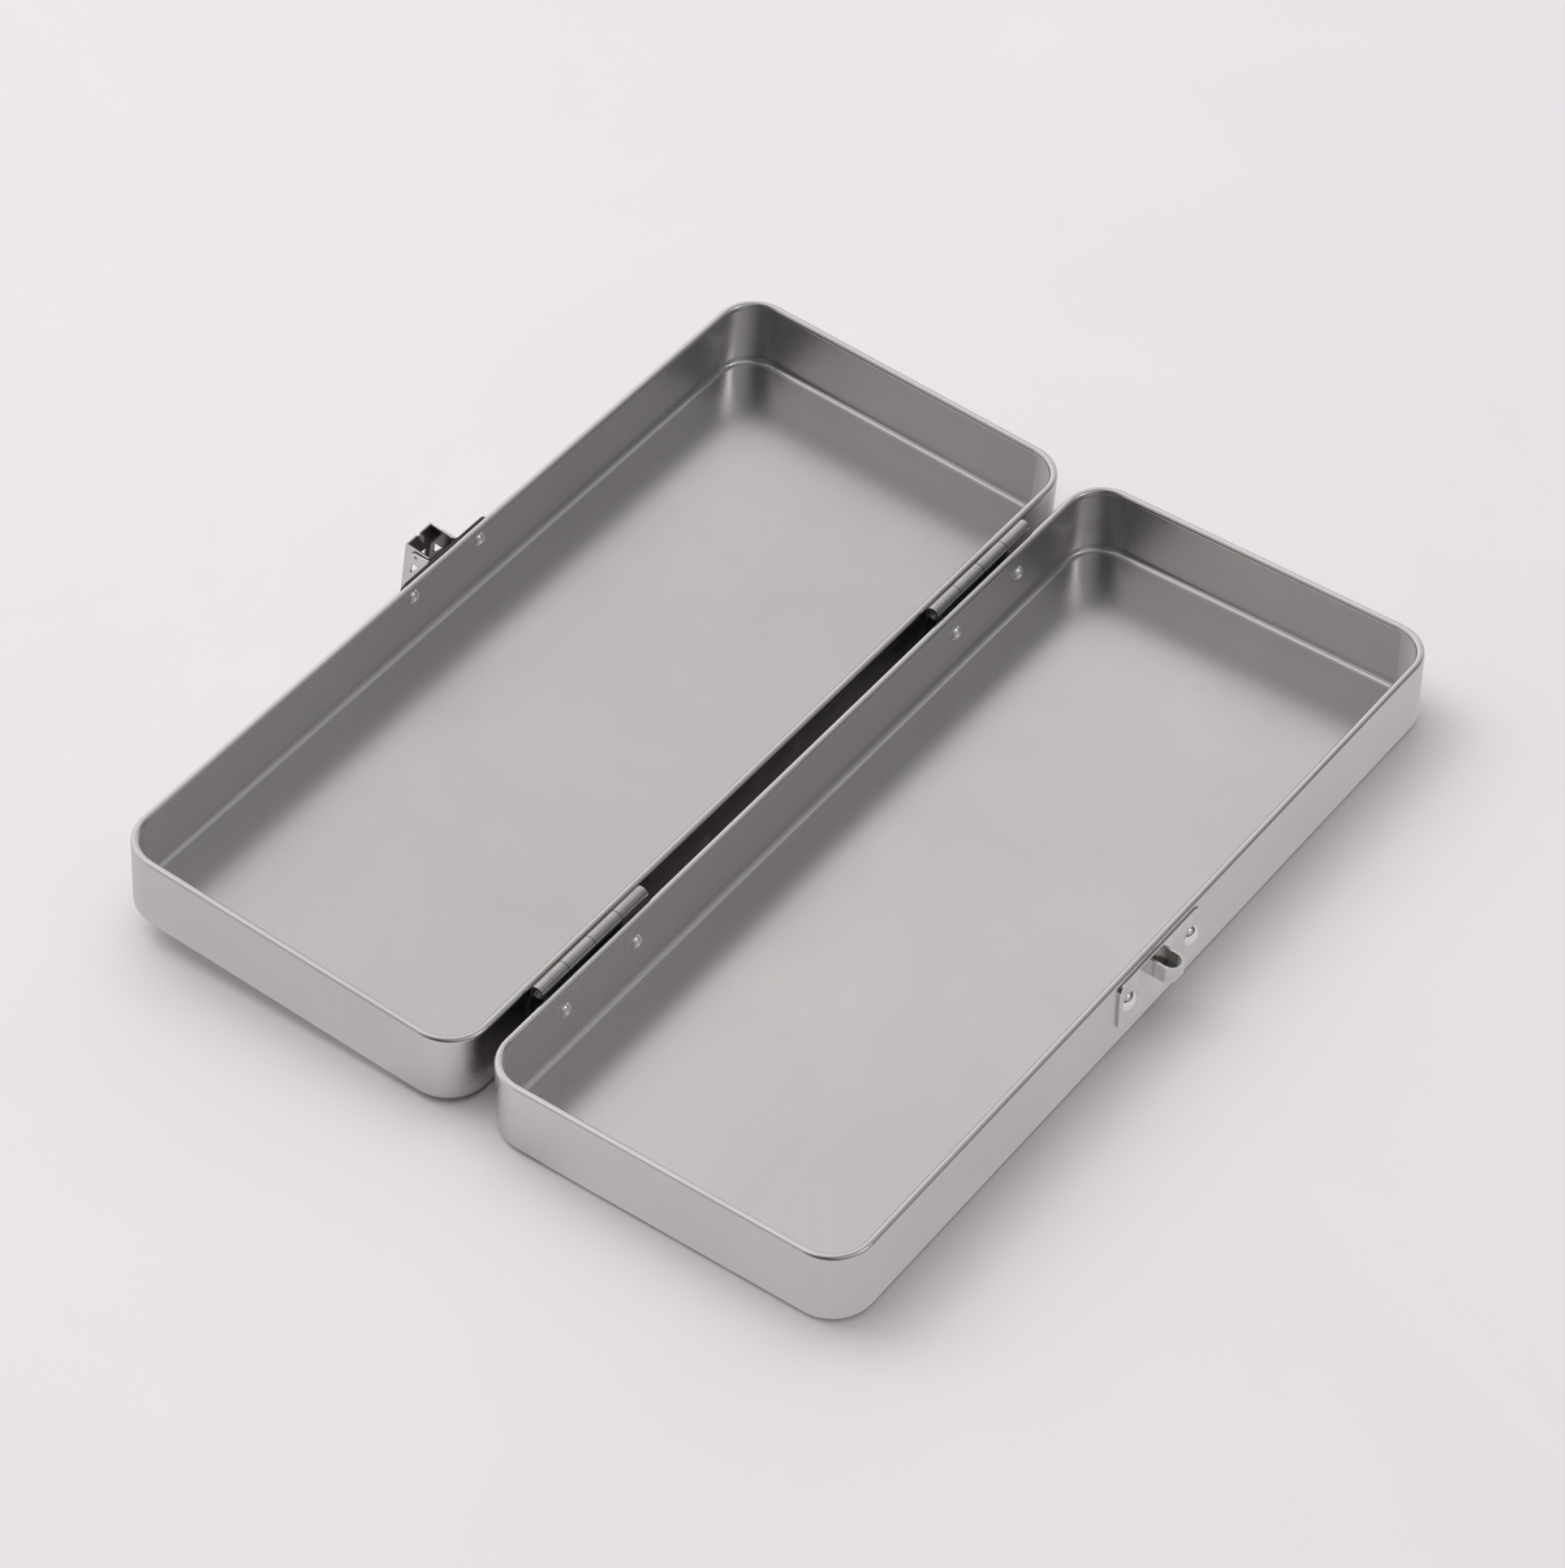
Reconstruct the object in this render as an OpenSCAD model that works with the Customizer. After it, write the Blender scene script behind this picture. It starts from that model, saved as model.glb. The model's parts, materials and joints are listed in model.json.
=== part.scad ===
// Hinged pencil tin: two equal shallow sheet-metal trays with rolled rims, joined by two riveted
// hinges along one long side, with a swinging hasp on the lid and a catch on the base.
// Drawn lying open. Origin: middle of the base tray's underside. +X runs along the hinge line,
// +Y runs from the base tray to the lid, +Z is up.

/* [Trays] */
// Length of each tray, outside
tray_length = 200; // [170:1:240]
// Width of each tray, outside
tray_width = 83; // [70:1:110]
// Height of each tray, from the underside to the top of the rim
tray_height = 17.6; // [16:0.2:26]
// Outside radius of the upright corners
corner_radius = 9; // [7:0.5:14]
// Thickness of the sheet metal
sheet = 0.4; // [0.3:0.05:0.5]
// Outside radius where the walls turn into the floor
floor_radius = 1.8; // [1.4:0.1:3]
// Thickness of the rolled rim, across
rim_bead = 1.7; // [1.5:0.1:2]
// Angle that the open lid keeps above flat
lid_lift = 4; // [0:0.5:8]

/* [Hinges] */
// Distance between the middles of the two hinges
hinge_spread = 126; // [100:1:130]
// Length of each hinge barrel
barrel_length = 32; // [26:1:36]
// Outside diameter of the hinge barrel
barrel_diameter = 2.9; // [2.7:0.1:3.3]
// Thickness of the hinge leaves, which roll up into the barrel
leaf_sheet = 0.45; // [0.35:0.05:0.5]
// Height of the flat part of each hinge leaf
leaf_height = 9.6; // [8:0.2:11]
// Distance between the two rivets of a leaf
hinge_rivet_spacing = 21.6; // [17:0.2:22]

/* [Latch] */
// Length of the latch plate and of the catch plate
plate_length = 27.4; // [26:0.2:32]
// Height of the latch plate
latch_plate_height = 8.8; // [8:0.2:10]
// Height of the catch plate
catch_plate_height = 11.6; // [11.2:0.2:12.4]
// Thickness of the latch plate, the catch plate and the hasp
plate_sheet = 0.5; // [0.4:0.05:0.6]
// Distance between the two rivets of a plate
plate_rivet_spacing = 20.8; // [19:0.2:21]
// Width of the hasp
hasp_width = 7.8; // [7:0.2:8.6]
// Depth of the hasp, across its side flanges
hasp_depth = 5.8; // [5:0.1:6.2]
// Reach of the hasp below its pivot pin
hasp_reach = 12.5; // [12:0.1:13]
// Angle that the hanging hasp leans out from the lid's wall
hasp_lean = 5; // [0:0.5:10]
// Diameter of the hasp's pivot pin
hasp_pin_diameter = 1.2; // [1:0.1:1.4]

/* [Fits] */
// Radial clearance of a pin in its hole
pin_clearance = 0.05; // [0.03:0.01:0.08]
// Radial clearance of a rivet in its hole
rivet_clearance = 0.03; // [0.02:0.01:0.08]
// Space between pieces that pass each other
part_gap = 0.15; // [0.1:0.05:0.25]

/* [Hidden] */
$fn = 48;
hair = 0.01;

// Rim and hinge line
bead_r = rim_bead / 2;
barrel_r = barrel_diameter / 2;
barrel_bore_r = barrel_r - leaf_sheet;
barrel_stand = leaf_sheet;
axis_out = barrel_r + barrel_stand;
axis_z = tray_height + part_gap;
hinge_y = tray_width / 2 + axis_out;
hinge_pin_r = barrel_bore_r - pin_clearance;
end_knuckle = barrel_length / 4;
pin_recess = 0.5;
curl_slit = 0.25;

// Hinge leaves
leaf_corner = 1.5;
leaf_top = tray_height - 2.8;
joggle_top = tray_height - 1.8;
hinge_rivet_z = leaf_top - leaf_height / 2;

// Rivets
rivet_r = 1;
hinge_head_r = 1.5;
hinge_head_h = 0.6;
plate_head_r = 2.1;
plate_head_h = 1.1;
tail_r = 1.6;
tail_h = 1;

// Latch plate and hasp, heights measured from the lid tray's underside
plate_corner = 2;
latch_plate_top = tray_height - 0.3;
latch_rivet_z = latch_plate_top - latch_plate_height / 2;
hasp_half = hasp_depth / 2;
mouth_rise = 1.8;
hasp_pin_r = hasp_pin_diameter / 2;
hasp_pin_out = plate_sheet + part_gap + norm([hasp_half, mouth_rise]);
hasp_pin_z = tray_height - 1.6;
ear_r = hasp_pin_r + 0.7;
ear_x = hasp_width / 2 + part_gap;
ear_foot = 4.4;
hasp_pin_head_r = hasp_pin_r + 0.35;
hasp_pin_head_h = 0.35;
hasp_flange_end = 1.2;
mouth_notch_r = 0.6;
flange_hole_out = 1.1;
flange_hole_top = -2.5;
flange_hole_height = 2.9;
flange_hole_width = 2;

// Catch plate, heights measured from the base tray's underside
catch_top = tray_height - 1.3;
catch_rivet_z = catch_top - catch_plate_height / 2;
scoop_half = hasp_width / 2 - plate_sheet - 1;
scoop_out = 5.2;
scoop_drop = 2;
scoop_height = 4.2;
scoop_top = catch_top - scoop_drop;
scoop_bottom = scoop_top - scoop_height;
scoop_top_slope = 0.4;
scoop_round = 2;

// Window of the hasp, which passes over the scoop as the hasp swings onto the closed tin: its ends
// clear the nearest point of the scoop's sloping top and its farthest point, seen from the pin
latched_pin_z = tray_height + 2 * part_gap + (tray_height - hasp_pin_z);
window_half = scoop_half + 2 * part_gap;
scoop_near = (scoop_out * (latched_pin_z - scoop_top) + scoop_top_slope * hasp_pin_out)
    / norm([scoop_out, scoop_top_slope]);
scoop_far = norm([hasp_pin_out, latched_pin_z - scoop_bottom]);
window_near = sqrt(scoop_near ^ 2 - hasp_half ^ 2) - 2 * part_gap;
window_far = sqrt(scoop_far ^ 2 - (hasp_half - plate_sheet) ^ 2) + part_gap;

// Every separate piece

// Positions along the hinge line of the four rivets of one tray
hinge_rivet_x = [
    for (side = [-1, 1], end = [-1, 1]) side * hinge_spread / 2 + end * hinge_rivet_spacing / 2
];

// Moves a piece from the lid tray's own frame to where the open lid lies
module in_lid() {
    translate([0, hinge_y, axis_z])
        rotate([lid_lift, 0, 0])
            translate([0, hinge_y, -axis_z])
                children();
}

// Wall frames: X along the wall, Y outwards from its outer face, Z up from the underside
module at_back_wall() {
    translate([0, tray_width / 2, 0])
        children();
}

module at_front_wall() {
    translate([0, -tray_width / 2, 0])
        rotate([0, 0, 180])
            children();
}

// Extrudes an outline of (out from the wall, up) along the wall
module along_wall(from, length) {
    translate([from, 0, 0])
        rotate([90, 0, 90])
            linear_extrude(length)
                children();
}

// Extrudes an outline of (along the wall, up) outwards from the wall
module out_of_wall(from, thickness) {
    translate([0, from + thickness, 0])
        rotate([90, 0, 0])
            linear_extrude(thickness)
                children();
}

// Turns an outline of (radius, out from the wall) round an axis that points out of the wall
module round_outward(x, z) {
    translate([x, 0, z])
        rotate([-90, 0, 0])
            rotate_extrude()
                children();
}

// Hole along Y through a wall and what lies on it
module wall_hole(x, z, radius) {
    translate([x, -tray_width / 8, z])
        rotate([-90, 0, 0])
            cylinder(h = tray_width / 4, r = radius);
}

module rounded_rectangle(width, height, radius) {
    square([width - 2 * radius, height], center = true);
    square([width, height - 2 * radius], center = true);
    for (x = [-1, 1], y = [-1, 1])
        translate([x * (width / 2 - radius), y * (height / 2 - radius)])
            circle(radius);
}

// Outline of a low dome on the axis, standing on height zero
module dome_outline(radius, height) {
    ball = (radius * radius + height * height) / (2 * height);
    intersection() {
        translate([0, height - ball])
            circle(ball);
        square([radius, height]);
    }
}

// Section through a tray's wall: distance from the corner's centre against height
module wall_section() {
    bead_x = corner_radius - bead_r;
    bead_z = tray_height - bead_r;
    // Upright sheet
    translate([corner_radius - sheet, floor_radius])
        square([sheet, bead_z - floor_radius]);
    // Bend between the floor and the wall
    intersection() {
        translate([corner_radius - floor_radius, floor_radius])
            difference() {
                circle(floor_radius);
                circle(floor_radius - sheet);
            }
        translate([corner_radius - floor_radius, 0])
            square(floor_radius);
    }
    // Rim curled inwards, its end left a little short of the wall
    difference() {
        translate([bead_x, bead_z])
            circle(bead_r);
        translate([bead_x, bead_z])
            circle(bead_r - sheet);
        translate([bead_x, bead_z - rim_bead])
            square([bead_r - sheet, rim_bead]);
    }
}

// One tray, its middle on the origin and its underside on height zero
module tray() {
    corner_x = tray_length / 2 - corner_radius;
    corner_y = tray_width / 2 - corner_radius;
    // Floor
    linear_extrude(sheet)
        rounded_rectangle(tray_length - 2 * floor_radius, tray_width - 2 * floor_radius,
            corner_radius - floor_radius);
    // Rounded corners
    for (turn = [0 : 3])
        translate([turn == 0 || turn == 3 ? corner_x : -corner_x,
                turn < 2 ? corner_y : -corner_y, 0])
            rotate([0, 0, 90 * turn])
                rotate_extrude(angle = 90)
                    wall_section();
    // Long walls
    for (turn = [0, 180])
        rotate([0, 0, turn])
            translate([corner_x, corner_y, 0])
                rotate([90, 0, -90])
                    linear_extrude(2 * corner_x)
                        mirror([1, 0])
                            wall_section();
    // Short walls
    for (turn = [0, 180])
        rotate([0, 0, turn])
            translate([corner_x, corner_y, 0])
                rotate([90, 0, 0])
                    linear_extrude(2 * corner_y)
                        wall_section();
}

// Rivet through a wall, with its head on a plate of the given thickness
module rivet(x, z, plate, head_r, head_h) {
    round_outward(x, z) {
        translate([0, plate])
            dome_outline(head_r, head_h);
        translate([0, -sheet])
            square([rivet_r, plate + sheet]);
        translate([0, -sheet])
            mirror([0, 1])
                dome_outline(tail_r, tail_h);
    }
}

// Rolled knuckle with its strip of leaf: out from the wall against height
module knuckle_section() {
    difference() {
        translate([axis_out, axis_z])
            circle(barrel_r);
        translate([axis_out, axis_z])
            circle(barrel_bore_r);
        translate([axis_out - barrel_bore_r, axis_z - 2 * barrel_r])
            square([curl_slit, 2 * barrel_r]);
    }
    difference() {
        translate([barrel_stand, joggle_top])
            square([leaf_sheet, axis_z - joggle_top]);
        translate([axis_out, axis_z])
            circle(barrel_bore_r);
    }
    // Joggle: its foot lies in the flat leaf, its top in the knuckle's stem
    polygon([
        [0, leaf_top - leaf_corner], [leaf_sheet, leaf_top - leaf_corner], [leaf_sheet, leaf_top],
        [barrel_stand + leaf_sheet, joggle_top], [barrel_stand + leaf_sheet, joggle_top + leaf_sheet],
        [barrel_stand, joggle_top + leaf_sheet], [barrel_stand, joggle_top], [0, leaf_top]
    ]);
}

// Hinge leaf on a wall, its middle at x; knuckles are pairs of start and length from the middle
module hinge_leaf(x, knuckles) {
    difference() {
        translate([x, 0, hinge_rivet_z])
            out_of_wall(0, leaf_sheet)
                rounded_rectangle(barrel_length, leaf_height, leaf_corner);
        for (rivet_x = hinge_rivet_x)
            wall_hole(rivet_x, hinge_rivet_z, rivet_r + rivet_clearance);
    }
    for (knuckle = knuckles)
        along_wall(x + knuckle[0], knuckle[1])
            knuckle_section();
}

middle_knuckles = [
    [-end_knuckle + part_gap / 2, end_knuckle - part_gap],
    [part_gap / 2, end_knuckle - part_gap]
];
end_knuckles = [
    [-barrel_length / 2, end_knuckle - part_gap / 2],
    [barrel_length / 2 - end_knuckle + part_gap / 2, end_knuckle - part_gap / 2]
];

module base_leaf(side) {
    color("gainsboro")
        at_back_wall()
            hinge_leaf(side * hinge_spread / 2, middle_knuckles);
}

module lid_leaf(side) {
    color("gainsboro")
        in_lid()
            at_front_wall()
                hinge_leaf(-side * hinge_spread / 2, end_knuckles);
}

module hinge_pin(side) {
    color("darkgray")
        at_back_wall()
            along_wall(side * hinge_spread / 2 - barrel_length / 2 + pin_recess,
                barrel_length - 2 * pin_recess)
                translate([axis_out, axis_z])
                    circle(hinge_pin_r);
}

module base_tray() {
    color("silver")
        difference() {
            tray();
            at_back_wall()
                for (x = hinge_rivet_x)
                    wall_hole(x, hinge_rivet_z, rivet_r + rivet_clearance);
            at_front_wall()
                for (side = [-1, 1])
                    wall_hole(side * plate_rivet_spacing / 2, catch_rivet_z,
                        rivet_r + rivet_clearance);
        }
}

module lid_tray() {
    color("silver")
        in_lid()
            difference() {
                tray();
                at_front_wall()
                    for (x = hinge_rivet_x)
                        wall_hole(x, hinge_rivet_z, rivet_r + rivet_clearance);
                at_back_wall()
                    for (side = [-1, 1])
                        wall_hole(side * plate_rivet_spacing / 2, latch_rivet_z,
                            rivet_r + rivet_clearance);
            }
}

module base_rivet(number) {
    color("whitesmoke")
        at_back_wall()
            rivet(hinge_rivet_x[number], hinge_rivet_z, leaf_sheet, hinge_head_r, hinge_head_h);
}

module lid_rivet(number) {
    color("whitesmoke")
        in_lid()
            at_front_wall()
                rivet(-hinge_rivet_x[number], hinge_rivet_z, leaf_sheet, hinge_head_r,
                    hinge_head_h);
}

// Plate on a wall with its two rivet holes, the top of the plate at the given height
module riveted_plate(top, height) {
    difference() {
        translate([0, 0, top - height / 2])
            out_of_wall(0, plate_sheet)
                rounded_rectangle(plate_length, height, plate_corner);
        for (side = [-1, 1])
            wall_hole(side * plate_rivet_spacing / 2, top - height / 2,
                rivet_r + rivet_clearance);
    }
}

// Outline of the scoop from above: along the wall against out from the wall
module scoop_plan(half, out) {
    translate([-half, 0])
        square([2 * half, out - half]);
    translate([0, out - half])
        circle(half);
}

// Outline of the scoop from the side: out from the wall against height
module scoop_side(out, bottom, round, rise) {
    polygon([
        [0, scoop_top + rise], [out, scoop_top - scoop_top_slope + rise],
        [out, bottom + round], [out - round, bottom], [0, bottom]
    ]);
    translate([out - round, bottom + round])
        circle(round);
}

module scoop_block(half, out, bottom, round, rise) {
    intersection() {
        translate([0, 0, bottom - plate_sheet])
            linear_extrude(catch_plate_height)
                scoop_plan(half, out);
        along_wall(-hasp_width, 2 * hasp_width)
            scoop_side(out, bottom, round, rise);
    }
}

// Catch: a riveted plate with a hollow scoop pressed out of it, open at the top
module catch_plate() {
    color("gainsboro")
        at_front_wall() {
            riveted_plate(catch_top, catch_plate_height);
            difference() {
                scoop_block(scoop_half, scoop_out, scoop_bottom, scoop_round, 0);
                scoop_block(scoop_half - plate_sheet, scoop_out - plate_sheet,
                    scoop_bottom + plate_sheet, scoop_round - plate_sheet, plate_sheet);
            }
        }
}

module catch_rivet(side) {
    color("whitesmoke")
        at_front_wall()
            rivet(-side * plate_rivet_spacing / 2, catch_rivet_z, plate_sheet, plate_head_r,
                plate_head_h);
}

// Side ear of the latch plate that carries the hasp's pin: out from the wall against height
module ear_outline() {
    difference() {
        union() {
            translate([hasp_pin_out, hasp_pin_z])
                circle(ear_r);
            polygon([
                [0, hasp_pin_z + ear_r],
                [hasp_pin_out, hasp_pin_z + ear_r],
                [hasp_pin_out, hasp_pin_z - ear_r],
                [plate_sheet, hasp_pin_z - ear_foot],
                [0, hasp_pin_z - ear_foot]
            ]);
        }
        translate([hasp_pin_out, hasp_pin_z])
            circle(hasp_pin_r + pin_clearance);
    }
}

module latch_plate() {
    color("gainsboro")
        in_lid()
            at_back_wall() {
                riveted_plate(latch_plate_top, latch_plate_height);
                for (from = [ear_x, -ear_x - plate_sheet])
                    along_wall(from, plate_sheet)
                        ear_outline();
            }
}

module latch_rivet(side) {
    color("whitesmoke")
        in_lid()
            at_back_wall()
                rivet(side * plate_rivet_spacing / 2, latch_rivet_z, plate_sheet, plate_head_r,
                    plate_head_h);
}

// Short pivot pin through one ear and one flange of the hasp, with a low head outside
module hasp_pin(side) {
    inner = ear_x - part_gap - plate_sheet;
    outer = ear_x + plate_sheet;
    color("whitesmoke")
        in_lid()
            at_back_wall()
                translate([0, hasp_pin_out, hasp_pin_z])
                    rotate([0, side * 90, 0])
                        rotate_extrude() {
                            translate([0, inner])
                                square([hasp_pin_r, outer - inner]);
                            translate([0, outer])
                                dome_outline(hasp_pin_head_r, hasp_pin_head_h);
                        }
}

// Hasp about its pin line, hanging: a folded channel, open towards the lid and at both ends
module hasp_body() {
    difference() {
        translate([-hasp_width / 2, -hasp_half, -hasp_reach])
            cube([hasp_width, hasp_depth, hasp_reach + mouth_rise]);
        // Inside of the channel
        translate([-hasp_width / 2 + plate_sheet, -hasp_half - hair, -hasp_reach - hair])
            cube([
                hasp_width - 2 * plate_sheet, hasp_depth - plate_sheet + hair,
                hasp_reach + mouth_rise + 2 * hair
            ]);
        // Flanges stop short of the far end, which is left as a lip for the finger
        translate([-hasp_width, -hasp_half - hair, -hasp_reach - hair])
            cube([2 * hasp_width, hasp_depth - plate_sheet + hair, hasp_flange_end]);
        // Window that passes over the scoop
        translate([-window_half, hasp_half - 2 * plate_sheet, -window_far])
            cube([2 * window_half, 3 * plate_sheet, window_far - window_near]);
        // Small notch in the middle of the mouth's outer edge
        translate([0, hasp_half + hair, mouth_rise])
            rotate([90, 0, 0])
                cylinder(h = 2 * plate_sheet, r = mouth_notch_r);
        // Three-cornered hole through both flanges, its top level and its outer edge upright
        along_wall(-hasp_width, 2 * hasp_width)
            polygon([
                [flange_hole_out - flange_hole_width, flange_hole_top],
                [flange_hole_out, flange_hole_top],
                [flange_hole_out, flange_hole_top - flange_hole_height]
            ]);
        // Holes for the pins
        translate([-hasp_width, 0, 0])
            rotate([0, 90, 0])
                cylinder(h = 2 * hasp_width, r = hasp_pin_r + pin_clearance);
    }
}

module hasp() {
    color("gainsboro")
        in_lid()
            at_back_wall()
                translate([0, hasp_pin_out, hasp_pin_z])
                    rotate([hasp_lean, 0, 0])
                        hasp_body();
}

base_tray();
lid_tray();
base_leaf(-1);  // base_leaf_left
base_leaf(1);  // base_leaf_right
lid_leaf(-1);  // lid_leaf_left
lid_leaf(1);  // lid_leaf_right
hinge_pin(-1);  // hinge_pin_left
hinge_pin(1);  // hinge_pin_right
base_rivet(0);  // base_rivet_1
base_rivet(1);  // base_rivet_2
base_rivet(2);  // base_rivet_3
base_rivet(3);  // base_rivet_4
lid_rivet(0);  // lid_rivet_1
lid_rivet(1);  // lid_rivet_2
lid_rivet(2);  // lid_rivet_3
lid_rivet(3);  // lid_rivet_4
catch_plate();
catch_rivet(-1);  // catch_rivet_left
catch_rivet(1);  // catch_rivet_right
latch_plate();
latch_rivet(-1);  // latch_rivet_left
latch_rivet(1);  // latch_rivet_right
hasp_pin(-1);  // hasp_pin_left
hasp_pin(1);  // hasp_pin_right
hasp();
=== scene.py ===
import json
import math
import bpy
import bmesh
from mathutils import Matrix, Vector

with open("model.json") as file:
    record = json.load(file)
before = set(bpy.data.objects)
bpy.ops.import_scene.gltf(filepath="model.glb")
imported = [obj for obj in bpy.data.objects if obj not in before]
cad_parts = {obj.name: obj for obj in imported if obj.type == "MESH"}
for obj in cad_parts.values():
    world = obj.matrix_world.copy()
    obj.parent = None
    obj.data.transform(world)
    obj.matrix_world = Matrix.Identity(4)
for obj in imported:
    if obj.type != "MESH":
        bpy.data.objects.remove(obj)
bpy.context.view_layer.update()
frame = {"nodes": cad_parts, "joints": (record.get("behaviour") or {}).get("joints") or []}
nodes = frame["nodes"]
pivots = {joint["name"]: Vector(joint["pos_m"]) for joint in frame["joints"]}
hingeLine = pivots["lid_hinge"].y            # Y of the hinge pins, between the two trays
print("frame loaded:", len(nodes), "pieces")


# Adds a node; inputs maps a socket's name or number to a value, or to a socket to link from
def addNode(tree, kind, inputs=None, **settings):
    node = tree.nodes.new(kind)
    for name, value in settings.items():
        setattr(node, name, value)
    for key, value in (inputs or {}).items():
        if isinstance(value, bpy.types.NodeSocket):
            tree.links.new(value, node.inputs[key])
        else:
            node.inputs[key].default_value = value
    return node


# A new shader group with its own named sockets; returns the tree and its two end nodes
def newGroup(name, inputs, outputs):
    tree = bpy.data.node_groups.new(name, "ShaderNodeTree")
    for label, kind, value in inputs:
        socket = tree.interface.new_socket(name=label, in_out="INPUT", socket_type=kind)
        if value is not None:
            socket.default_value = value
    for label, kind in outputs:
        tree.interface.new_socket(name=label, in_out="OUTPUT", socket_type=kind)
    return tree, addNode(tree, "NodeGroupInput"), addNode(tree, "NodeGroupOutput")


def useGroup(tree, group, inputs):
    return addNode(tree, "ShaderNodeGroup", inputs, node_tree=group)


def remap(tree, value, fromLow, fromHigh, toLow, toHigh):
    node = addNode(tree, "ShaderNodeMapRange", {
        "Value": value, "From Min": fromLow, "From Max": fromHigh,
        "To Min": toLow, "To Max": toHigh,
    })
    return node.outputs["Result"]


# A mask that is 0 where the value is at none and 1 where it is at full
def fade(tree, value, none, full):
    return remap(tree, value, none, full, 0.0, 1.0)


def combine(tree, operation, first, second):
    node = addNode(tree, "ShaderNodeMath", {0: first, 1: second}, operation=operation)
    return node.outputs["Value"]


def combineVectors(tree, operation, first, second):
    node = addNode(tree, "ShaderNodeVectorMath", {0: first, 1: second}, operation=operation)
    return node.outputs["Value" if operation == "DOT_PRODUCT" else "Vector"]


def mixColour(tree, factor, first, second):
    node = addNode(tree, "ShaderNodeMix", {0: factor, 6: first, 7: second}, data_type="RGBA")
    return node.outputs[2]


# How far a place lies from the hinge line, across the tin
def fromHinge(tree, place):
    parts = addNode(tree, "ShaderNodeSeparateXYZ", {0: place})
    across = combine(tree, "SUBTRACT", parts.outputs["Y"], hingeLine)
    return combine(tree, "ABSOLUTE", across, 0.0)


# A mask broken up by patches of noise, which leave at least the given share of it
def breakUp(tree, mask, place, patches):
    noise = addNode(tree, "ShaderNodeTexNoise", {
        "Vector": place, "Scale": patches["scale"], "Detail": 3.0,
    })
    share = remap(tree, noise.outputs["Fac"], patches["low"], patches["high"],
                  patches["least"], 1.0)
    return combine(tree, "MULTIPLY", mask, share)


floatKind = "NodeSocketFloat"
vectorKind = "NodeSocketVector"
vectorIn = ("Vector", vectorKind, None)
maskOut = ("Mask", floatKind)


# A mask of noise with its own scale; the settings are those of the noise texture
def makeNoiseMask(name, scale, settings):
    low, high = 0.3, 0.7                     # nearly all of a noise's values lie between these
    tree, start, end = newGroup(name, [vectorIn, ("Scale", floatKind, scale)], [maskOut])
    noise = addNode(tree, "ShaderNodeTexNoise", dict(
        settings, Vector=start.outputs["Vector"], Scale=start.outputs["Scale"]))
    tree.links.new(fade(tree, noise.outputs["Fac"], low, high), end.inputs["Mask"])
    return tree


# Short thin scratches: edges of long cells, broken up by a second noise
def makeScratches():
    stretch = (1.0, 7.0, 5.0)
    bare, scratched = 0.58, 0.66             # values of the second noise
    tree, start, end = newGroup("scratches", [
        vectorIn, ("Scale", floatKind, 90.0), ("Width", floatKind, 0.02),
        ("Angle", vectorKind, (0.3, 0.2, 0.6)),
    ], [maskOut])
    turned = addNode(tree, "ShaderNodeMapping", {
        "Vector": start.outputs["Vector"], "Rotation": start.outputs["Angle"],
        "Scale": stretch,
    })
    cells = addNode(tree, "ShaderNodeTexVoronoi", {
        "Vector": turned.outputs["Vector"], "Scale": start.outputs["Scale"], "Randomness": 1.0,
    }, feature="DISTANCE_TO_EDGE")
    line = remap(tree, cells.outputs["Distance"], 0.0, start.outputs["Width"], 1.0, 0.0)
    gaps = addNode(tree, "ShaderNodeTexNoise", {
        "Vector": start.outputs["Vector"], "Scale": start.outputs["Scale"], "Detail": 2.0,
    })
    kept = fade(tree, gaps.outputs["Fac"], bare, scratched)
    tree.links.new(combine(tree, "MULTIPLY", line, kept), end.inputs["Mask"])
    return tree


# Edges where handling has polished the metal
def makeEdgeWear():
    flat, sharp = 0.99, 0.85                 # cosines between a face and its rounded normal
    patches = {"scale": 300.0, "low": 0.35, "high": 0.6, "least": 0.65}
    tree, start, end = newGroup("edge wear", [
        vectorIn, ("Radius", floatKind, 0.0004), ("Amount", floatKind, 1.0),
    ], [maskOut])
    rounded = addNode(tree, "ShaderNodeBevel", {"Radius": start.outputs["Radius"]}, samples=4)
    facing = addNode(tree, "ShaderNodeNewGeometry")
    turn = combineVectors(tree, "DOT_PRODUCT", rounded.outputs["Normal"],
                          facing.outputs["Normal"])
    worn = breakUp(tree, fade(tree, turn, flat, sharp), start.outputs["Vector"], patches)
    tree.links.new(combine(tree, "MULTIPLY", worn, start.outputs["Amount"]), end.inputs["Mask"])
    return tree


# Painted shade in creases and round rivets, found by ambient occlusion; the same mask also dulls
# the metal there like a film
def makeShadeAndFilm():
    patches = {"scale": 160.0, "low": 0.3, "high": 0.65, "least": 0.4}
    tree, start, end = newGroup("shadeAndFilm", [
        vectorIn, ("Reach", floatKind, 0.0015), ("Amount", floatKind, 1.0),
        ("Open", floatKind, 0.75), ("Shut", floatKind, 0.25),
    ], [maskOut])
    near = addNode(tree, "ShaderNodeAmbientOcclusion", {"Distance": start.outputs["Reach"]},
                   samples=4)
    shut = fade(tree, near.outputs["AO"], start.outputs["Open"], start.outputs["Shut"])
    shadedAndDull = breakUp(tree, shut, start.outputs["Vector"], patches)
    tree.links.new(combine(tree, "MULTIPLY", shadedAndDull, start.outputs["Amount"]), end.inputs["Mask"])
    return tree


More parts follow.
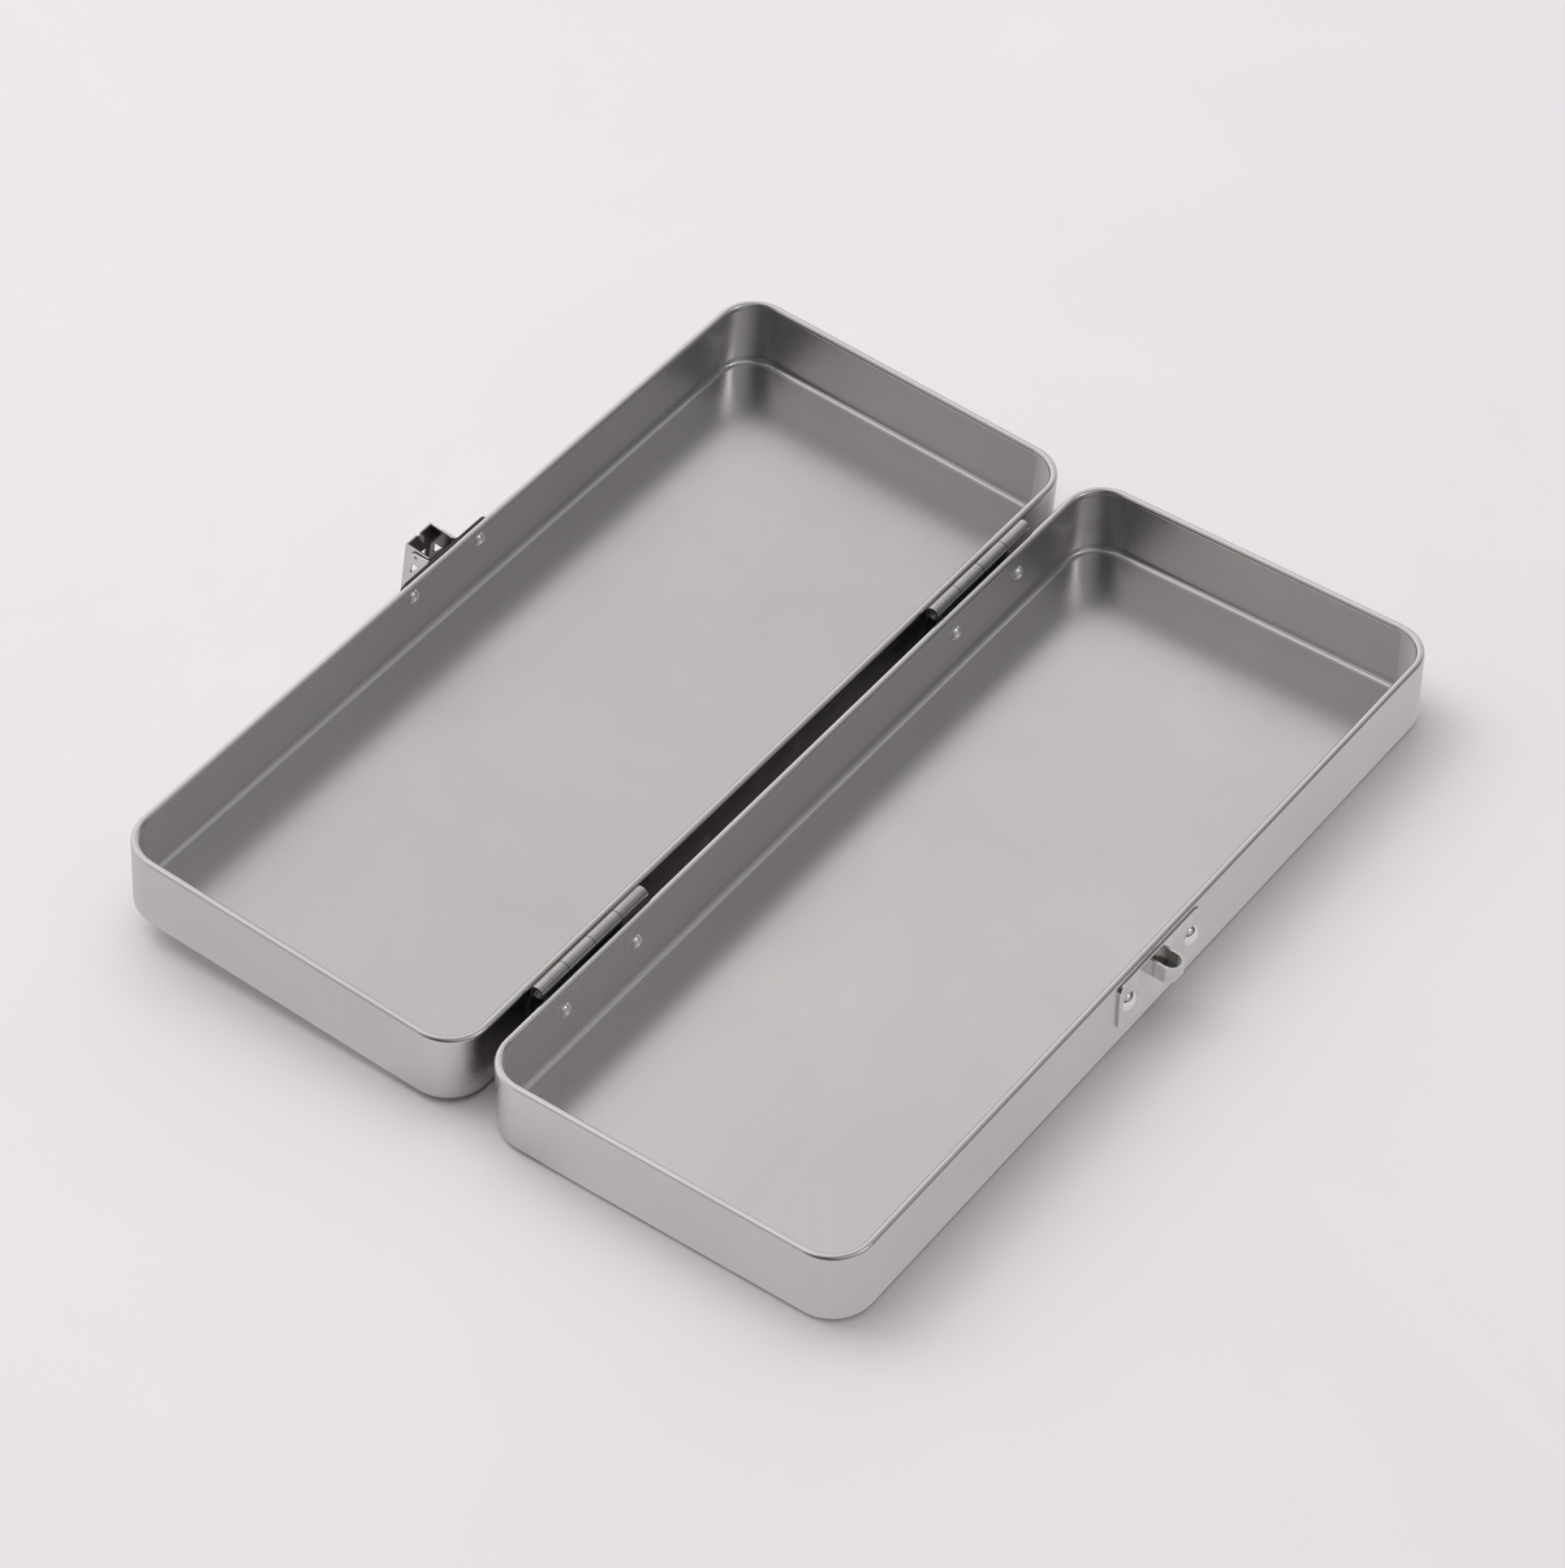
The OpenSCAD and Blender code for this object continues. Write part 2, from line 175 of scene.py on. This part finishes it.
# Faces inside a box that lies turned about the hinge line's direction, in the tin's own place
def makeInsideBox():
    tree, start, end = newGroup("inside box", [
        vectorIn, ("Centre", vectorKind, (0, 0, 0)), ("Turn", vectorKind, (0, 0, 0)),
        ("Half", vectorKind, (1, 1, 1)),
    ], [maskOut])
    placed = addNode(tree, "ShaderNodeMapping", {
        "Vector": start.outputs["Vector"], "Location": start.outputs["Centre"],
        "Rotation": start.outputs["Turn"],
    }, vector_type="TEXTURE")
    shrunk = combineVectors(tree, "DIVIDE", placed.outputs["Vector"], start.outputs["Half"])
    parts = addNode(tree, "ShaderNodeSeparateXYZ", {0: shrunk})
    sizes = [combine(tree, "ABSOLUTE", parts.outputs[axis], 0.0) for axis in range(3)]
    most = combine(tree, "MAXIMUM", combine(tree, "MAXIMUM", sizes[0], sizes[1]), sizes[2])
    tree.links.new(combine(tree, "LESS_THAN", most, 1.0), end.inputs["Mask"])
    return tree


# Cut edges of a flat plate: faces that don't look along the plate's outward direction
def makeCutEdge():
    front, side = 0.5, 0.2                   # cosines between a face and that direction
    tree, start, end = newGroup("cut edge", [
        ("Normal", vectorKind, None), ("Outward", vectorKind, (0, 1, 0)),
    ], [maskOut])
    facing = combineVectors(tree, "DOT_PRODUCT", start.outputs["Normal"],
                            start.outputs["Outward"])
    flat = combine(tree, "ABSOLUTE", facing, 0.0)
    tree.links.new(fade(tree, flat, front, side), end.inputs["Mask"])
    return tree


# Slow cloudy changes of tone, as on rolled tinplate, and the fine speckle of the surface
mottle = makeNoiseMask("mottle", 40.0, {"Detail": 5.0, "Roughness": 0.62, "Distortion": 0.6})
grain = makeNoiseMask("grain", 2500.0, {"Detail": 3.0, "Roughness": 0.7})
scratches = makeScratches()
edgeWear = makeEdgeWear()
shadeAndFilm = makeShadeAndFilm()
insideBox = makeInsideBox()
cutEdge = makeCutEdge()
print("shader groups made")


bumpUnit = 0.001                             # metres that a bump's height of 1 stands for
gapShadeReach = {"full": 0.004, "none": 0.009}    # distances from the hinge line, for the painted shade in the gap
scratchSets = [                              # how coarse each set is, and which way it runs
    {"spread": 1.0, "angle": (0.3, 0.2, 0.6)},
    {"spread": 0.7, "angle": (0.1, 0.4, -0.9)},
]


# Two sets of scratches that cross
def scratchMask(tree, place, look):
    lines, crossing = [useGroup(tree, scratches, {
        "Vector": place, "Scale": look["scratchScale"] * each["spread"],
        "Width": look["scratchWidth"], "Angle": each["angle"],
    }).outputs["Mask"] for each in scratchSets]
    return combine(tree, "MAXIMUM", lines, crossing)


# Painted shade in the gap between the trays, which fades out away from it and past a level
def gapShadeMask(tree, place, look):
    gap = useGroup(tree, shadeAndFilm, dict(look["gap"], Vector=place))
    height = addNode(tree, "ShaderNodeSeparateXYZ", {0: place}).outputs["Z"]
    level = fade(tree, height, look["gapFrom"], look["gapFull"])
    beside = fade(tree, fromHinge(tree, place), gapShadeReach["none"], gapShadeReach["full"])
    return combine(tree, "MULTIPLY", combine(tree, "MULTIPLY", level, beside),
                   gap.outputs["Mask"])


# A part of a piece painted a tone that stands for shade: the faces in a box, or only the cut
# edges among them where the box has an outward side
def boxShadeMask(tree, place, box):
    inside = useGroup(tree, insideBox, {
        "Vector": place, "Centre": box["centre"], "Half": box["half"],
        "Turn": (math.radians(box["turn"]), 0, 0),
    }).outputs["Mask"]
    if "outward" not in box:
        return inside
    facing = addNode(tree, "ShaderNodeTexCoord").outputs["Normal"]
    edge = useGroup(tree, cutEdge, {"Normal": facing, "Outward": box["outward"]})
    return combine(tree, "MULTIPLY", inside, edge.outputs["Mask"])


# A metal finish from one dictionary: slow changes of tone, grain, wear, painted shade in creases
# with a dull film, and scratches, painted shade in the gap or a part painted a tone of shade
# where the dictionary has them
def makeMetal(name, look):
    material = bpy.data.materials.new(name)
    material.use_nodes = True
    tree = material.node_tree
    tree.nodes.clear()
    out = addNode(tree, "ShaderNodeOutputMaterial")
    place = addNode(tree, "ShaderNodeTexCoord").outputs["Object"]
    drawn = combineVectors(tree, "MULTIPLY", place, look["grainDraw"])
    cloud = useGroup(tree, mottle, {
        "Vector": place, "Scale": look["cloudScale"],
    }).outputs["Mask"]
    speck = useGroup(tree, grain, {
        "Vector": drawn, "Scale": look["grainScale"],
    }).outputs["Mask"]
    worn = useGroup(tree, edgeWear, {
        "Vector": place, "Radius": look["wearRadius"], "Amount": look["wear"],
    }).outputs["Mask"]
    shadedAndDull = useGroup(tree, shadeAndFilm, {
        "Vector": place, "Reach": look["shadeAndFilmReach"], "Amount": look["shadeAndFilm"],
    }).outputs["Mask"]

    tone = mixColour(tree, cloud, look["dark"], look["light"])
    tone = mixColour(tree, combine(tree, "MULTIPLY", speck, look["speck"]), tone, look["light"])
    tone = mixColour(tree, worn, tone, look["bright"])
    height = combine(tree, "MULTIPLY", speck, look["grainHeight"])
    if "scratchScale" in look:
        marks = scratchMask(tree, place, look)
        tone = mixColour(tree, combine(tree, "MULTIPLY", marks, look["scratchTone"]),
                         tone, look["bright"])
        height = combine(tree, "SUBTRACT", height,
                         combine(tree, "MULTIPLY", marks, look["scratchDepth"]))
    # painted shade: the colour goes darker in creases, in the gap between the trays and on the
    # faces a box marks
    tone = mixColour(tree, shadedAndDull, tone, look["shadeAndFilmColour"])
    if "gap" in look:
        tone = mixColour(tree, gapShadeMask(tree, place, look), tone, look["gapShadeColour"])
    if "box" in look:
        tone = mixColour(tree, boxShadeMask(tree, place, look["box"]), tone, look["boxShadeTone"])

    rough = remap(tree, cloud, 0.0, 1.0, look["roughHigh"], look["roughLow"])
    rough = combine(tree, "ADD", rough,
                    remap(tree, speck, 0.0, 1.0, -look["roughGrain"], look["roughGrain"]))
    rough = combine(tree, "SUBTRACT", rough,
                    combine(tree, "MULTIPLY", worn, look["wearPolish"]))
    rough = combine(tree, "ADD", rough, combine(tree, "MULTIPLY", shadedAndDull, look["filmRough"]))
    bump = addNode(tree, "ShaderNodeBump", {
        "Height": height, "Strength": 1.0, "Distance": bumpUnit,
    })
    shader = addNode(tree, "ShaderNodeBsdfPrincipled", {
        "Base Color": tone, "Metallic": look["metallic"], "Roughness": rough,
        "Normal": bump.outputs["Normal"],
    })
    tree.links.new(shader.outputs["BSDF"], out.inputs["Surface"])
    return material


# The drawn sheet of the two trays
trayLook = {
    "dark": (0.625, 0.61, 0.608, 1), "light": (0.67, 0.656, 0.652, 1),
    "bright": (0.84, 0.825, 0.82, 1), "metallic": 1.0,
    "cloudScale": 22.0, "grainScale": 2600.0, "grainDraw": (1, 1, 1), "speck": 0.15,
    "wearRadius": 0.0005, "wear": 0.5, "wearPolish": 0.0,
    # painted shade: creases and corners go towards the dark colour on the next line, and the same
    # mask makes them rougher
    "shadeAndFilmReach": 0.0016, "shadeAndFilm": 0.55, "shadeAndFilmColour": (0.30, 0.295, 0.29, 1), "filmRough": 0.10,
    "roughLow": 0.27, "roughHigh": 0.30, "roughGrain": 0.006,
    "grainHeight": 0.0002,
    # painted shade in the narrow gap between the two trays, above the foot of their walls
    "gap": {"Reach": 0.012, "Amount": 1.6, "Open": 0.58, "Shut": 0.34},
    "gapShadeColour": (0.240, 0.215, 0.207, 1), "gapFrom": 0.004, "gapFull": 0.007,
}
# Bright plate, which the hasp, the plates, the rivets and the leaves each change in part
nickelLook = {
    "dark": (0.60, 0.59, 0.58, 1), "light": (0.72, 0.71, 0.70, 1),
    "bright": (0.93, 0.92, 0.91, 1), "metallic": 1.0,
    "cloudScale": 220.0, "grainScale": 5200.0, "grainDraw": (1, 1, 1), "speck": 0.3,
    "scratchScale": 260.0, "scratchWidth": 0.014, "scratchTone": 0.25,
    "wearRadius": 0.0002, "wear": 0.7, "wearPolish": 0.04,
    # painted shade in creases, splits and around rivets, with a dull film there
    "shadeAndFilmReach": 0.0008, "shadeAndFilm": 0.8, "shadeAndFilmColour": (0.16, 0.155, 0.15, 1), "filmRough": 0.15,
    "roughLow": 0.13, "roughHigh": 0.20, "roughGrain": 0.015,
    "grainHeight": 0.0008, "scratchDepth": 0.0008,
    # painted shade: the near-black colour of the faces a box marks, such as the latch plate's cut
    # edges
    "boxShadeTone": (0.080, 0.072, 0.070, 1),
}
# Drawn wire of the hinge pins
wireLook = {
    "dark": (0.44, 0.435, 0.43, 1), "light": (0.56, 0.55, 0.545, 1),
    "bright": (0.75, 0.74, 0.73, 1), "metallic": 1.0,
    "cloudScale": 300.0, "grainScale": 6000.0, "grainDraw": (1, 1, 1), "speck": 0.4,
    "scratchScale": 320.0, "scratchWidth": 0.02, "scratchTone": 0.3,
    "wearRadius": 0.0002, "wear": 0.8, "wearPolish": 0.05,
    # painted shade in creases, with a dull film there
    "shadeAndFilmReach": 0.0006, "shadeAndFilm": 0.6, "shadeAndFilmColour": (0.16, 0.155, 0.15, 1), "filmRough": 0.15,
    "roughLow": 0.24, "roughHigh": 0.34, "roughGrain": 0.03,
    "grainHeight": 0.0015, "scratchDepth": 0.001,
}

lidTurn = 4.0                                # degrees that the open lid keeps above flat
haspLean = 5.0                               # degrees that the hasp leans out from the lid


# A direction of a piece that lies turned about the hinge line's direction, in degrees
def turnedWith(turn, direction):
    return Matrix.Rotation(math.radians(turn), 3, "X") @ Vector(direction)


haspBox = {                                  # inside of the folded channel, painted dark as its shade
    "centre": pivots["hasp_pivot"] + turnedWith(lidTurn + haspLean,
                                                (0.0, -0.000175, -0.00535)),
    "half": (0.00365, 0.002825, 0.0074), "turn": lidTurn + haspLean,
}
latchBox = {                                 # flat part of the latch plate, on the lid's wall; its cut edges are painted dark as shade
    "centre": pivots["lid_hinge"] + turnedWith(lidTurn, (0.0, 0.08515, -0.00485)),
    "half": (0.0150, 0.00046, 0.0065), "turn": lidTurn,
    "outward": turnedWith(lidTurn, (0.0, 1.0, 0.0)),
}
catchBox = {                                 # flat part of the catch plate, on the base's wall; its cut edges are painted darker as shade
    "centre": (0.0, -0.04175, 0.0105), "half": (0.0150, 0.00027, 0.0065), "turn": 0.0,
    "outward": (0.0, -1.0, 0.0),
}

satinTinplate = makeMetal("satin tinplate", trayLook)
# The hasp's channel is painted dark inside, as painted shade in its hollow
haspNickel = makeMetal("channel painted dark inside", dict(
    nickelLook, boxShadeTone=(0.17, 0.154, 0.150, 1), box=haspBox))
latchNickel = makeMetal("latch plate", dict(nickelLook, box=latchBox))
catchNickel = makeMetal("catch plate", dict(
    nickelLook, dark=(0.56, 0.55, 0.545, 1), roughLow=0.07, roughHigh=0.13,
    # painted shade, near black, deep in the pressed scoop and in creases
    shadeAndFilmReach=0.0010, shadeAndFilm=0.7, shadeAndFilmColour=(0.10, 0.097, 0.094, 1),
    # the catch plate's cut edges are painted a little darker, as shade
    boxShadeTone=(0.58, 0.57, 0.565, 1), box=catchBox))
rivetNickel = makeMetal("rivet", dict(
    nickelLook, dark=(0.86, 0.85, 0.84, 1), light=(0.95, 0.94, 0.93, 1), metallic=0.6,
    # painted shade: a dark ring where the rivet heads meet the sheet
    roughLow=0.10, roughHigh=0.15, roughGrain=0.01, shadeAndFilmReach=0.0004, shadeAndFilm=1.0,
    shadeAndFilmColour=(0.06, 0.058, 0.056, 1)))
polishedRivet = makeMetal("polished rivet", dict(
    nickelLook, dark=(0.80, 0.79, 0.78, 1), light=(0.90, 0.89, 0.88, 1),
    # painted shade: a dark ring where the rivet heads meet the plate
    roughLow=0.05, roughHigh=0.09, roughGrain=0.01, shadeAndFilmReach=0.0006, shadeAndFilm=1.0,
    shadeAndFilmColour=(0.05, 0.048, 0.046, 1)))
hingeNickel = makeMetal("dull nickel", dict(
    nickelLook, dark=(0.36, 0.352, 0.348, 1), light=(0.52, 0.51, 0.505, 1), metallic=0.92,
    bright=(0.46, 0.45, 0.445, 1), roughLow=0.17, roughHigh=0.23,
    grainScale=2400.0, grainDraw=(0.03, 1.0, 1.0), speck=0.7, grainHeight=0.003, wear=0.2,
    # painted shade in the knuckle splits and creases
    shadeAndFilmReach=0.0006, shadeAndFilm=1.0, shadeAndFilmColour=(0.05, 0.048, 0.046, 1),
    # painted shade of the hinge gap on the leaves, below the rim's height
    gap={"Reach": 0.012, "Amount": 1.6, "Open": 0.50, "Shut": 0.25},
    gapShadeColour=(0.240, 0.215, 0.207, 1), gapFrom=0.0165, gapFull=0.0155))
steelWire = makeMetal("steel wire", wireLook)

# Which finish goes to the pieces with a word in their name; the first that fits counts
finishes = [
    ("_tray", satinTinplate), ("hinge_pin", steelWire), ("catch_rivet", polishedRivet),
    ("rivet", rivetNickel), ("_leaf_", hingeNickel), ("hasp", haspNickel),
    ("latch_plate", latchNickel), ("catch_plate", catchNickel),
]
for name, piece in nodes.items():
    finish = next(finish for word, finish in finishes if word in name)
    if not piece.data.materials:
        piece.data.materials.append(finish)
    for slot in piece.material_slots:
        slot.material = finish
print("finishes given")


# Table top: a wide pale sheet under the tin
floorLook = {
    "size": 8.0,
    "pale": (0.815, 0.780, 0.806, 1), "shade": (0.785, 0.750, 0.776, 1),
    "blotch": 5.0, "roughness": 0.7,
    "mirrored": 0.85, "strength": 0.87,    # the table as it shows in the metal, away from the gap
    "gapHalf": 0.012,                      # it shows as it is within this of the hinge line
}


def makeFloor():
    material = bpy.data.materials.new("pale table")
    material.use_nodes = True
    tree = material.node_tree
    shader = tree.nodes["Principled BSDF"]
    place = addNode(tree, "ShaderNodeTexCoord").outputs["Object"]
    cloud = useGroup(tree, mottle, {"Vector": place, "Scale": floorLook["blotch"]})
    tone = mixColour(tree, cloud.outputs["Mask"], floorLook["shade"], floorLook["pale"])
    tree.links.new(tone, shader.inputs["Base Color"])
    shader.inputs["Roughness"].default_value = floorLook["roughness"]
    shader.inputs["Specular IOR Level"].default_value = 0.0
    away = remap(tree, fromHinge(tree, place), floorLook["gapHalf"], 2 * floorLook["gapHalf"],
                 0.0, floorLook["mirrored"])
    inMetal = combine(tree, "MULTIPLY", away,
                      addNode(tree, "ShaderNodeLightPath").outputs["Is Glossy Ray"])
    even = addNode(tree, "ShaderNodeEmission", {"Color": tone, "Strength": floorLook["strength"]})
    both = addNode(tree, "ShaderNodeMixShader", {
        0: inMetal, 1: shader.outputs["BSDF"], 2: even.outputs["Emission"],
    })
    tree.links.new(both.outputs["Shader"], tree.nodes["Material Output"].inputs["Surface"])
    mesh = bpy.data.meshes.new("table_top")
    form = bmesh.new()
    bmesh.ops.create_grid(form, x_segments=1, y_segments=1, size=floorLook["size"] / 2)
    form.to_mesh(mesh)
    form.free()
    floor = bpy.data.objects.new("table_top", mesh)
    bpy.context.scene.collection.objects.link(floor)
    mesh.materials.append(material)


makeFloor()
print("floor made")


# Room light, as the camera sees it: brightest behind the tin and to the left, darkest behind
# the camera and to the right
roomLook = {
    "azimuth": 68.0,         # degrees from +X, where the room is brightest
    "tint": (1.0, 0.985, 0.98),
    # brightness by how far a direction leans that way, from -1 to 1
    "steps": [(-1.0, 0.05), (-0.55, 0.08), (-0.22, 0.13), (0.18, 0.75), (0.48, 0.68),
              (0.62, 0.96), (1.0, 1.06)],
    # soft pale patches, a lit wall and a lamp high up; each fades out between two cosines
    "patches": [
        {"azimuth": -90.0, "elevation": 40.0, "level": 0.45, "edge": 0.71, "core": 0.97},
        {"azimuth": 100.0, "elevation": 68.0, "level": 0.55, "edge": 0.93, "core": 0.99},
    ],
}


# The direction of an azimuth from +X and an elevation, in degrees
def towardsSky(azimuth, elevation):
    turn = math.radians(azimuth)
    rise = math.radians(elevation)
    return Vector((math.cos(turn) * math.cos(rise), math.sin(turn) * math.cos(rise),
                   math.sin(rise)))


def makeRoom():
    world = bpy.data.worlds.new("room")
    bpy.context.scene.world = world
    world.use_nodes = True
    tree = world.node_tree
    tree.nodes.clear()
    out = addNode(tree, "ShaderNodeOutputWorld")
    look = addNode(tree, "ShaderNodeTexCoord").outputs["Generated"]
    along = combineVectors(tree, "DOT_PRODUCT", look, towardsSky(roomLook["azimuth"], 0.0))
    ramp = addNode(tree, "ShaderNodeValToRGB", {"Fac": fade(tree, along, -1.0, 1.0)})
    stops = ramp.color_ramp.elements
    while len(stops) < len(roomLook["steps"]):
        stops.new(0.5)
    for stop, (leaning, level) in zip(stops, roomLook["steps"]):
        stop.position = (leaning + 1) / 2
        stop.color = [level * part for part in roomLook["tint"]] + [1]
    lit = ramp.outputs["Color"]
    for patch in roomLook["patches"]:
        leaning = combineVectors(tree, "DOT_PRODUCT", look,
                                 towardsSky(patch["azimuth"], patch["elevation"]))
        added = remap(tree, leaning, patch["edge"], patch["core"], 0.0, patch["level"])
        lit = combineVectors(tree, "ADD", lit, added)
    glow = addNode(tree, "ShaderNodeBackground", {"Color": lit, "Strength": 1.0})
    tree.links.new(glow.outputs["Background"], out.inputs["Surface"])


makeRoom()


# A soft window behind the tin and to its left for the shadows, a wide lamp overhead, and a
# small one that is only mirrored, as a glint on the rivets
lampLooks = {
    "window": {"azimuth": 98.0, "elevation": 50.0, "distance": 1.6, "size": 1.0, "watts": 5.0,
               "lights": True, "mirrored": False},
    "overhead": {"azimuth": 50.0, "elevation": 81.0, "distance": 1.9, "size": 2.4, "watts": 14.9,
                 "lights": True, "mirrored": False},
    "glint": {"azimuth": -75.0, "elevation": 39.0, "distance": 1.6, "size": 0.30, "watts": 0.95,
              "lights": False, "mirrored": True},
}
lampAim = Vector((0.0, 0.045, 0.0))          # middle of the open tin, which the lamps face


def makeLamp(name, look):
    towards = towardsSky(look["azimuth"], look["elevation"])
    data = bpy.data.lights.new(name, "AREA")
    data.shape = "DISK"
    data.size = look["size"]
    data.energy = look["watts"]
    lamp = bpy.data.objects.new(name, data)
    lamp.location = lampAim + towards * look["distance"]
    lamp.rotation_mode = "QUATERNION"
    lamp.rotation_quaternion = towards.to_track_quat("Z", "Y")
    lamp.visible_diffuse = look["lights"]
    lamp.visible_glossy = look["mirrored"]
    bpy.context.scene.collection.objects.link(lamp)


for name, look in lampLooks.items():
    makeLamp(name, look)
print("lights made")


# Camera at the photograph's angle; its azimuth is measured from -Y
cameraLook = {
    "azimuth": -53.70, "elevation": 45.05, "distance": 1.0926,
    "aim": (0.00590, 0.04970, -0.0001), "lens": 128.46, "sensor": 36.0,
}


def makeCamera():
    turn = math.radians(cameraLook["azimuth"])
    rise = math.radians(cameraLook["elevation"])
    back = Vector((math.sin(turn) * math.cos(rise), -math.cos(turn) * math.cos(rise),
                   math.sin(rise)))
    data = bpy.data.cameras.new("camera")
    data.lens = cameraLook["lens"]
    data.sensor_width = cameraLook["sensor"]
    camera = bpy.data.objects.new("camera", data)
    camera.location = Vector(cameraLook["aim"]) + back * cameraLook["distance"]
    camera.rotation_mode = "QUATERNION"
    camera.rotation_quaternion = back.to_track_quat("Z", "Y")
    bpy.context.scene.collection.objects.link(camera)
    bpy.context.scene.camera = camera


makeCamera()
bpy.context.scene.view_settings.view_transform = "Standard"

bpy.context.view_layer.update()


print("scene ready")
